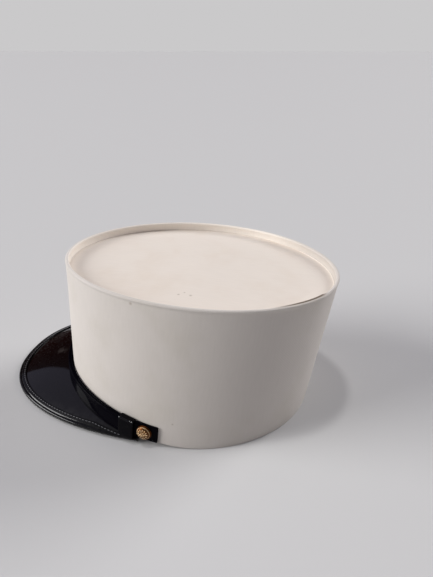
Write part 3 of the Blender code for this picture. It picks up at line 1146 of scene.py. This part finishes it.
def binding_height(inset, width):
    """Height of the strip's top face over the middle line, from the edge's bead to its cut edge."""
    flat = PEAK_THICKNESS / 2 + GAP + BINDING_THICKNESS
    scale = width / BINDING_WIDTH
    place = inset / scale
    bead = BEAD_HEIGHT * math.exp(-(((place - BEAD_WIDTH / 2) / (BEAD_WIDTH / 2)) ** 2))
    groove_place = (place - BEAD_WIDTH - GROOVE_WIDTH / 2) / GROOVE_WIDTH * 2
    groove = GROOVE_DEPTH * math.exp(-(groove_place**2))
    cut = EDGE_ROUND * (1 - smooth_step(0, EDGE_ROUND, width - inset))
    return flat + scale * (bead - groove) - cut


def binding_row(line):
    inner = PEAK_THICKNESS / 2 + GAP
    outer = inner + BINDING_THICKNESS
    width = min(BINDING_WIDTH, line.slant * BINDING_TIP_SHARE)
    nose = min(BEAD_WIDTH / 2, width / 2)
    leg = between(width, nose, LEG_STEPS)
    row = [line.point(inset, binding_height(inset, width)) for inset in leg]
    for turn in between(math.pi / 2, -math.pi / 2, BEAD_STEPS)[1:-1]:
        high = binding_height(nose, width) if turn > 0 else outer
        row.append(line.point(nose * (1 - math.cos(turn)), high * math.sin(turn)))
    row += [line.point(inset, -outer) for inset in reversed(leg)]
    row += [line.point(inset, -inner) for inset in (width, BINDING_THICKNESS)]
    row += [line.point(inset, inner) for inset in (BINDING_THICKNESS, width)]
    return row + row[:1]


binding = grid_mesh("binding", [binding_row(line) for line in PEAK_LINES])
add_piece("peak_edge_binding", binding, BINDING_PATENT, "peak_binding")

# %% [markdown]
# ## One tree for stitches, rope and rays
#
# A row of stitches, the twisted rope round a button and the rays of its rosette are all the same
# thing: one small rounded grain, repeated along a path and turned by some angle to it. One tree
# makes them all. It resamples the path to a count of points, puts a grain on each, turns it by the
# slant, and realizes the instances so that they become real mesh.

# %% The tree that repeats a grain along a path
GRAIN_SIZES = {
    "Count": 10,
    "Grain Length": 2 * MM,
    "Grain Width": 0.6 * MM,
    "Grain Height": 0.4 * MM,
    "Slant": 0.0,
    "Wobble": 0.0,
    "Seed": 1,
}
GRAIN_SEGMENTS = 8
GRAIN_RINGS = 6


def make_grain_tree():
    tree, sizes = new_tree("grains_on_path", GRAIN_SIZES)
    size = sizes.outputs
    path = add_node(tree, "GeometryNodeMeshToCurve", {}, {"Mesh": size["Geometry"]})
    points = add_node(tree, "GeometryNodeResampleCurve", {}, {"Curve": path, "Count": size["Count"]})
    tangent = add_node(tree, "GeometryNodeInputTangent")
    normal = add_node(tree, "GeometryNodeInputNamedAttribute", {"data_type": "FLOAT_VECTOR"}, {"Name": "up"})
    along = add_node(
        tree,
        "FunctionNodeAxesToRotation",
        {"primary_axis": "X", "secondary_axis": "Z"},
        {"Primary Axis": tangent, "Secondary Axis": normal.outputs["Attribute"]},
    )
    low = add_node(tree, "ShaderNodeMath", {"operation": "SUBTRACT"}, {0: size["Slant"], 1: size["Wobble"]})
    high = add_node(tree, "ShaderNodeMath", {"operation": "ADD"}, {0: size["Slant"], 1: size["Wobble"]})
    turn = add_node(
        tree, "FunctionNodeRandomValue", {"data_type": "FLOAT"}, {2: low, 3: high, "Seed": size["Seed"]}
    )
    turn_vector = add_node(tree, "ShaderNodeCombineXYZ", {}, {"Z": turn.outputs[1]})
    slanted = add_node(
        tree, "FunctionNodeRotateRotation", {"rotation_space": "LOCAL"}, {0: along, 1: turn_vector}
    )
    grain = add_node(
        tree,
        "GeometryNodeMeshUVSphere",
        {},
        {"Segments": GRAIN_SEGMENTS, "Rings": GRAIN_RINGS, "Radius": 0.5},
    )
    scale = add_node(
        tree,
        "ShaderNodeCombineXYZ",
        {},
        {"X": size["Grain Length"], "Y": size["Grain Width"], "Z": size["Grain Height"]},
    )
    copies = add_node(
        tree,
        "GeometryNodeInstanceOnPoints",
        {},
        {"Points": points, "Instance": grain.outputs["Mesh"], "Rotation": slanted, "Scale": scale},
    )
    end_tree(tree, copies, size["Material"])
    return tree


def grains(path, ups, values):
    """Grains along a path of points, each standing on its up direction."""
    mesh = bpy.data.meshes.new("path")
    mesh.from_pydata(path, [(i, i + 1) for i in range(len(path) - 1)], [])
    up = mesh.attributes.new("up", "FLOAT_VECTOR", "POINT")
    up.data.foreach_set("vector", [number for vector in ups for number in vector])
    return run_tree(mesh, GRAIN_TREE, values)


GRAIN_TREE = make_grain_tree()
print("grains_on_path has", len(GRAIN_TREE.nodes), "nodes and", len(GRAIN_SIZES), "named sizes")

# %% [markdown]
# ## Stitches along the binding
#
# The binding is sewn down 1.3 mm inside its cut edge. Each stitch is a short length of thread that
# dips at both ends. They are 2.2 mm long and start every 2.9 mm, which leaves a small gap where the
# needle went in, and each is turned a little by chance, as hand-fed sewing is. They stop near the
# tips of the peak, where the strip is too narrow for them.

# %% The stitches
STITCH_INSET = 1.3 * MM
STITCH_PITCH = 2.9 * MM
STITCH_LENGTH = 2.2 * MM
THREAD_WIDTH = 0.55 * MM
STITCH_WOBBLE = math.radians(4)
STITCH_SEED = 7
NARROWEST_SEWN = 2.5 * STITCH_INSET


def stitch_path():
    """Places along the strip, each with the direction that points up out of the leather."""
    path = []
    for line in PEAK_LINES:
        width = min(BINDING_WIDTH, line.slant * BINDING_TIP_SHARE)
        if width > NARROWEST_SEWN:
            inset = width - STITCH_INSET
            place = line.point(inset, binding_height(inset, width))
            path.append((place, line.point(inset, 1) - line.point(inset, 0)))
    return path


sewn = stitch_path()
sewn_length = sum((b[0] - a[0]).length for a, b in zip(sewn, sewn[1:]))
stitch_values = {
    "Count": round(sewn_length / STITCH_PITCH),
    "Grain Length": STITCH_LENGTH,
    "Grain Width": THREAD_WIDTH,
    "Grain Height": THREAD_WIDTH,
    "Wobble": STITCH_WOBBLE,
    "Seed": STITCH_SEED,
    "Material": THREAD,
}
stitches = grains([place for place, _ in sewn], [up for _, up in sewn], stitch_values)
add_piece("binding_stitches", stitches, THREAD)
print(stitch_values["Count"], "stitches over", round(sewn_length / MM), "mm")

# %% [markdown]
# ## The chin strap
#
# The strap is two straps. Each is buttoned at one side, runs round the front and ends in a keeper
# loop that slides over the other. Both are drawn flat and wrapped. Their face falls away at every
# edge and has a line creased in it a little way in, so its height depends only on the distance to
# the nearest edge, the end included.

# %% The face of a strap
EDGE_RADIUS = 0.45 * MM
CREASE_INSET = 1.5 * MM
CREASE_WIDTH = 0.28 * MM
CREASE_DEPTH = 0.22 * MM
STRAP_CROWN = 0.2 * MM
CORNER_RADIUS = 1.0 * MM
# distances from an edge, in mm, close together where the face bends
EDGE_DISTANCES = [0, 0.08, 0.2, 0.45, 0.9, 1.15, 1.3, 1.5, 1.7, 1.85, 2.1, 3.0, 4.2]


def edge_fall(distance, radius):
    """How far a rounded edge has fallen at this distance from it."""
    if distance >= radius:
        return 0.0
    return radius - math.sqrt(radius**2 - (radius - distance) ** 2)


def face_height(across, end_distance):
    """Height of the strap's face over its back."""
    distance = min(across, STRAP_WIDTH - across, end_distance)
    crease = CREASE_DEPTH * math.exp(-(((distance - CREASE_INSET) / CREASE_WIDTH) ** 2))
    crown = STRAP_CROWN * (1 - (2 * across / STRAP_WIDTH - 1) ** 2)
    return STRAP_THICKNESS - STRAP_CROWN + crown - crease - edge_fall(distance, EDGE_RADIUS)


print("the strap is", round(face_height(STRAP_WIDTH / 2, STRAP_WIDTH) / MM, 2), "mm thick in the middle")


# %% The two straps
STRAP_STEP = 1.6 * MM
# how far out from the wall the strap's back lies: at the button, as the inner and the outer layer
SEAT = GAP
INNER_LAYER = GAP + LOOP_THICKNESS + GAP
OUTER_LAYER = INNER_LAYER + STRAP_THICKNESS + GAP
# how far in front of the crown's middle the strap begins to lift, the loop lies and the strap ends
LIFT_START = BUTTON_FORWARD + BUTTON_RADIUS
LOOP_REAR = BUTTON_FORWARD + LOOP_FROM_BUTTON
LOOP_FRONT = LOOP_REAR + LOOP_LENGTH
STRAP_END = LOOP_REAR + LOOP_LENGTH / 4


def strap_row(angle, back, end_distance):
    narrow = edge_fall(end_distance, CORNER_RADIUS)
    near = [distance * MM for distance in EDGE_DISTANCES]
    acrosses = near + [STRAP_WIDTH / 2] + [STRAP_WIDTH - distance for distance in reversed(near)]
    squeeze = 1 - 2 * narrow / STRAP_WIDTH
    row = []
    for across in acrosses:
        up = STRAP_RISE + narrow + across * squeeze
        row.append((angle, 0, up, back + face_height(across, end_distance)))
    for across in (STRAP_WIDTH, STRAP_WIDTH / 2, 0):
        row.append((angle, 0, STRAP_RISE + narrow + across * squeeze, back))
    return row + row[:1]


def strap_rows(layer, side, lift_end):
    """Rows from the tab behind the button round the front to the plain end in the far loop."""
    start = angle_at(BUTTON_FORWARD - TAB_REACH)
    end = mirrored(angle_at(STRAP_END))
    length = (start - end) * BASE_LENGTH / 2
    near = [distance * MM for distance in EDGE_DISTANCES]
    middle = between(near[-1], length - near[-1], round(length / STRAP_STEP))[1:-1]
    rows = []
    for place in near + middle + [length - distance for distance in reversed(near)]:
        angle = start + (end - start) * place / length
        forward = -BASE_LENGTH / 2 * math.sin(angle)
        lifted = smooth_step(LIFT_START, lift_end, forward) if angle > -math.pi / 2 else 1
        back = SEAT + (layer - SEAT) * lifted
        placed = angle if side > 0 else mirrored(angle)
        rows.append(strap_row(placed, back, min(place, length - place)))
    return rows


inner_strap = crown_mesh("strap_inner", strap_rows(INNER_LAYER, 1, LOOP_REAR), STRAP_PATENT)
add_piece("strap_under", inner_strap, STRAP_PATENT, "strap_inner")
outer_strap = crown_mesh("strap_outer", strap_rows(OUTER_LAYER, -1, STRAP_END), STRAP_PATENT)
add_piece("strap_over", outer_strap, STRAP_PATENT, "strap_outer")

# %% [markdown]
# ## The keeper loops
#
# A keeper loop is a narrow band of leather bent round both straps. Its path round them is a
# rectangle with tight corners, and its section is a thin strip with rounded edges. The attribute
# bend tells the material where the corner on top of the strap is, which wear has polished.

# %% The band of a keeper loop
LOOP_CORNER_STEPS = 6
LOOP_SIDE_STEPS = 6
# distance in mm from the loop's end, share of its thickness lost there
LOOP_SECTION = [(0.0, 0.5), (0.08, 0.18), (0.25, 0.0)]
FLAT_STEPS = 6
FLAT_START = 0.1
INNER_SHARES = (1, 0.66, 0.33, 0)


def loop_track():
    """Points once round the straps, each with the direction that points away from them."""
    high = STRAP_RISE + STRAP_WIDTH
    front = OUTER_LAYER + STRAP_THICKNESS
    corners = [(high, front), (high, INNER_LAYER), (STRAP_RISE, INNER_LAYER), (STRAP_RISE, front)]
    track = []
    for quarter, (up, out) in enumerate(corners):
        for turn in between(quarter * math.pi / 2, (quarter + 1) * math.pi / 2, LOOP_CORNER_STEPS):
            track.append((up, out, math.sin(turn), math.cos(turn)))
        next_up, next_out = corners[(quarter + 1) % 4]
        for share in between(0, 1, LOOP_SIDE_STEPS)[1:-1]:
            _, _, rise, reach = track[-1]
            side_up = up + (next_up - up) * share
            side_out = out + (next_out - out) * share
            track.append((side_up, side_out, rise, reach))
    return track + track[:1]


def loop_section():
    """Distance along the strap and depth of each point of the band's section."""
    inner_depth = GAP
    outer_depth = GAP + LOOP_THICKNESS
    section = []
    for distance, loss in LOOP_SECTION:
        section.append((distance * MM, outer_depth - loss * LOOP_THICKNESS))
    for share in between(FLAT_START, 1 - FLAT_START, FLAT_STEPS):
        section.append((LOOP_LENGTH * share, outer_depth))
    for distance, loss in reversed(LOOP_SECTION):
        section.append((LOOP_LENGTH - distance * MM, outer_depth - loss * LOOP_THICKNESS))
    return section + [(LOOP_LENGTH * share, inner_depth) for share in INNER_SHARES]


print("the band's section has", len(loop_section()), "points")

# %% The keeper loops
BEND_GAIN = 3


def loop_rows(side):
    start = angle_at(LOOP_REAR)
    end = angle_at(LOOP_FRONT)
    section = loop_section()
    rows = []
    for up, out, rise, reach in loop_track():
        row = []
        for along, depth in section:
            angle = start + (end - start) * along / LOOP_LENGTH
            placed = angle if side > 0 else mirrored(angle)
            row.append((placed, 0, up + depth * rise, out + depth * reach))
        rows.append(row + row[:1])
    return rows


bends = [min(BEND_GAIN * max(rise * reach, 0), 1) for _, _, rise, reach in loop_track()]
for label, side in (("left", 1), ("right", -1)):
    rows = loop_rows(side)
    loop = crown_mesh("loop_" + label, rows, LOOP_PATENT)
    bend = loop.attributes.new("bend", "FLOAT", "POINT")
    bend.data.foreach_set("value", [value for value in bends for _ in rows[0]])
    add_piece("keeper_" + label, loop, LOOP_PATENT, "loop_" + label)

# %% [markdown]
# ## The buttons
#
# Each button is a small stamped dome. Its body is turned: a profile of radius and height goes once
# round the button's axis. The face carries a rope border and a plain rosette of rays and petals,
# made by the grain tree and joined to the dome. The attribute raised is 1 on them and 0 on the
# dome, so that the gilt can be bright on the relief and dark in the ground between, a dark tone
# that is partly dirt and partly painted shade.

# %% The shape of a button
BUTTON_STEPS = 48
DOME_STEPS = 16
PATH_STEPS = 60
POST_RADIUS = 1.2 * MM
DOME_RADIUS = BUTTON_RADIUS - BUTTON_EDGE
DOME_HEIGHT = BUTTON_DOME - BUTTON_EDGE
BUTTON_BACK = SEAT + STRAP_THICKNESS + GAP
# ring radius as a share of the dome's, count, length, width and height in mm, slant in degrees
RELIEF = [
    (0.97, 26, 1.25, 0.66, 0.60, 35),
    (0.64, 12, 1.80, 0.66, 0.56, 90),
    (0.30, 6, 1.30, 0.90, 0.60, 90),
    (0.02, 4, 0.80, 0.80, 0.80, 0),
]
STEEPEST_SHARE = 0.99
TILT_SHARE = 0.8


def dome_height(radius):
    share = min(radius / DOME_RADIUS, 1)
    return BUTTON_BACK + BUTTON_EDGE + DOME_HEIGHT * math.sqrt(1 - share**2)


def button_profile():
    """Radius and height of each point, from the end of the post to the top of the dome."""
    lip = BUTTON_RADIUS - BUTTON_EDGE / 3
    profile = [(0, -WALL), (POST_RADIUS, -WALL), (POST_RADIUS, BUTTON_BACK), (lip, BUTTON_BACK)]
    profile += [(BUTTON_RADIUS, BUTTON_BACK + BUTTON_EDGE / 2), (lip, BUTTON_BACK + BUTTON_EDGE)]
    profile.append((DOME_RADIUS, BUTTON_BACK + BUTTON_EDGE))
    for turn in between(0, math.pi / 2, DOME_STEPS)[1:]:
        radius = DOME_RADIUS * math.cos(turn)
        profile.append((radius, dome_height(radius)))
    return profile


def circle(radius, height, steps):
    turns = between(0, 2 * math.pi, steps)
    return [Vector((radius * math.cos(turn), radius * math.sin(turn), height)) for turn in turns]


print("grains of relief on each button:", sum(row[1] for row in RELIEF))


# %% The buttons
def leaning_out(point, tilt):
    """Direction that leans away from the button's axis by a tilt."""
    level = Vector((point.x, point.y, 0)).normalized()
    return level * math.sin(tilt) + Vector((0, 0, math.cos(tilt)))


def button_mesh():
    """Dome and relief in one mesh, on the button's own axis."""
    rows = [circle(radius, height, BUTTON_STEPS) for radius, height in button_profile()]
    parts = [grid_mesh("dome", rows)]
    for share, count, length, width, height, slant in RELIEF:
        radius = share * DOME_RADIUS
        path = circle(radius, dome_height(radius), PATH_STEPS)
        tilt = math.asin(min(share, STEEPEST_SHARE)) * TILT_SHARE
        ups = [leaning_out(point, tilt) for point in path]
        values = {
            "Count": count + 1,
            "Grain Length": length * MM,
            "Grain Width": width * MM,
            "Grain Height": height * MM,
            "Slant": math.radians(slant),
            "Material": GILT,
        }
        parts.append(grains(path, ups, values))
    joined = bmesh.new()
    for part in parts:
        joined.from_mesh(part)
    mesh = bpy.data.meshes.new("button")
    joined.to_mesh(mesh)
    joined.free()
    ground = len(parts[0].vertices)
    raised = mesh.attributes.new("raised", "FLOAT", "POINT")
    raised.data.foreach_set("value", [0.0] * ground + [1.0] * (len(mesh.vertices) - ground))
    return mesh


def button_place(side):
    """Matrix from the button's own axis, +Z, to its place on the leaning wall."""
    angle = angle_at(BUTTON_FORWARD)
    if side < 0:
        angle = mirrored(angle)
    up = STRAP_RISE + STRAP_WIDTH / 2
    spots = [(angle, 0, up, 0), (angle, 0, 0, 0), (angle, 1, 0, 0), (angle, 0, up, 1)]
    foot, low, high, away = on_crown(spots)
    lean = (high - low).normalized()
    level = away - foot
    turn = (level - lean * level.dot(lean)).to_track_quat("Z", "Y")
    return Matrix.LocRotScale(foot, turn, None)


for label, side in (("left", 1), ("right", -1)):
    button = button_mesh()
    button.transform(button_place(side))
    add_piece("uniform_button_" + label, button, GILT, "button_" + label)

# %% [markdown]
# ## Floor and light
#
# The cap stands on a plain pale floor that runs to the horizon. The light comes from two broad
# windows and a weak ceiling light, made as suns so that the floor is lit evenly. The side that
# faces the camera lies between the two windows, so it is in half shade, as in the photograph.
#
# The room itself is the world, in a few broad tones, because varnish mirrors them: a dark brown
# wall behind the peak, a grey one above it, and a half-lit grey behind the camera, which also
# softens the shadows. The camera sees none of them. For its own rays, a plain backdrop as pale as
# the floor takes their place, so the walls show only as light and as reflections.

# %% The floor
FLOOR_SIZE = 60.0
FLOOR_TONE = "c6c5c4"


def make_floor():
    near = [(-FLOOR_SIZE, -FLOOR_SIZE, 0), (FLOOR_SIZE, -FLOOR_SIZE, 0)]
    far = [(-FLOOR_SIZE, FLOOR_SIZE, 0), (FLOOR_SIZE, FLOOR_SIZE, 0)]
    mesh = grid_mesh("floor", [near, far])
    material, _, shader = new_material("matt_painted_floor")
    shader.inputs["Base Color"].default_value = colour(FLOOR_TONE)
    shader.inputs["Roughness"].default_value = 0.95
    shader.inputs["Specular IOR Level"].default_value = 0.1
    mesh.materials.append(material)
    floor = bpy.data.objects.new("floor", mesh)
    bpy.context.scene.collection.objects.link(floor)


make_floor()
print("floor:", 2 * FLOOR_SIZE, "m square")

# %% The room
BACKDROP_TONE = "cac9ca"
DARK_WALL_TONE = "2b0d09"
GREY_WALL_TONE = "7f7d8f"
HALF_LIT_TONE = "747478"
# the dark wall turns grey on this side, and the edge between them is this soft
GREY_WALL_SIDE = (0.766, -0.164, 0.621)
WALL_EDGE = 0.01
# the half-lit part starts and is full at these shares of the way towards the camera's side
HALF_LIT_RANGE = (0.1, 0.4)


def make_room():
    world = bpy.data.worlds.new("room")
    bpy.context.scene.world = world
    world.use_nodes = True
    room = world.node_tree
    look = add_node(room, "ShaderNodeTexCoord").outputs["Object"]
    along = add_node(room, "ShaderNodeSeparateXYZ", {}, {0: look})
    across = add_node(
        room, "ShaderNodeVectorMath", {"operation": "DOT_PRODUCT"}, {0: look, 1: GREY_WALL_SIDE}
    )
    grey_share = add_node(
        room,
        "ShaderNodeMapRange",
        {},
        {"Value": across.outputs["Value"], "From Min": -WALL_EDGE, "From Max": WALL_EDGE},
    )
    start, full = HALF_LIT_RANGE
    half_lit_share = add_node(
        room,
        "ShaderNodeMapRange",
        {},
        {"Value": along.outputs["X"], "From Min": start, "From Max": full},
    )
    seen_by_camera = add_node(room, "ShaderNodeLightPath").outputs["Is Camera Ray"]
    layers = (
        (grey_share, GREY_WALL_TONE),
        (half_lit_share, HALF_LIT_TONE),
        (seen_by_camera, BACKDROP_TONE),
    )
    tone = colour(DARK_WALL_TONE)
    for share, hex_value in layers:
        mix = add_node(
            room, "ShaderNodeMix", {"data_type": "RGBA"}, {0: share, 6: tone, 7: colour(hex_value)}
        )
        tone = mix.outputs[2]
    room.links.new(tone, room.nodes["Background"].inputs["Color"])


make_room()
print("the room has", len(bpy.context.scene.world.node_tree.nodes), "nodes")

# %% The lamps
# name, azimuth and elevation of the lamp in degrees, its width in degrees, its strength
LAMPS = [
    ("window_light", 288, 24, 38, 3.0),
    ("rear_window_light", 130, 30, 30, 1.9),
    ("ceiling_light", 280, 79, 5, 0.55),
]


def add_lamp(name, azimuth, elevation, width, strength):
    turn = math.radians(azimuth)
    height = math.radians(elevation)
    level = math.cos(height)
    toward = Vector((math.cos(turn) * level, math.sin(turn) * level, math.sin(height)))
    sun = bpy.data.lights.new(name, "SUN")
    sun.angle = math.radians(width)
    sun.energy = strength
    lamp = bpy.data.objects.new(name, sun)
    lamp.rotation_euler = toward.to_track_quat("Z", "Y").to_euler()
    bpy.context.scene.collection.objects.link(lamp)


for row in LAMPS:
    add_lamp(*row)
    print(row[0], "shines from azimuth", row[1], "and elevation", row[2])

# %% [markdown]
# ## The camera
#
# The camera stands at the cap's left side and a little behind it, 28 degrees above the floor, and
# looks level in roll. Its distance and its lens come from the photograph's strong perspective: the
# far rim is much narrower than the near one.

# %% The camera
FRAME_HEIGHT = 577
FOCAL_PIXELS = 455
SENSOR = 36.0
CAMERA_FROM_CROWN = Vector((0.3175, 0.0889, 0.2588))
CAMERA_LOOKS = Vector((-0.8668, -0.1788, -0.4656))

camera_data = bpy.data.cameras.new("camera")
camera_data.sensor_width = SENSOR
camera_data.lens = SENSOR * FOCAL_PIXELS / FRAME_HEIGHT
camera_data.clip_start = 0.01
camera = bpy.data.objects.new("camera", camera_data)
camera.location = CAMERA_FROM_CROWN + Vector((0, CENTRE_Y, 0))
camera.rotation_euler = CAMERA_LOOKS.to_track_quat("-Z", "Y").to_euler()
bpy.context.scene.collection.objects.link(camera)
bpy.context.scene.camera = camera
bpy.context.scene.view_settings.view_transform = "Standard"
print("the camera stands", round(camera.location.z / MM), "mm above the floor")
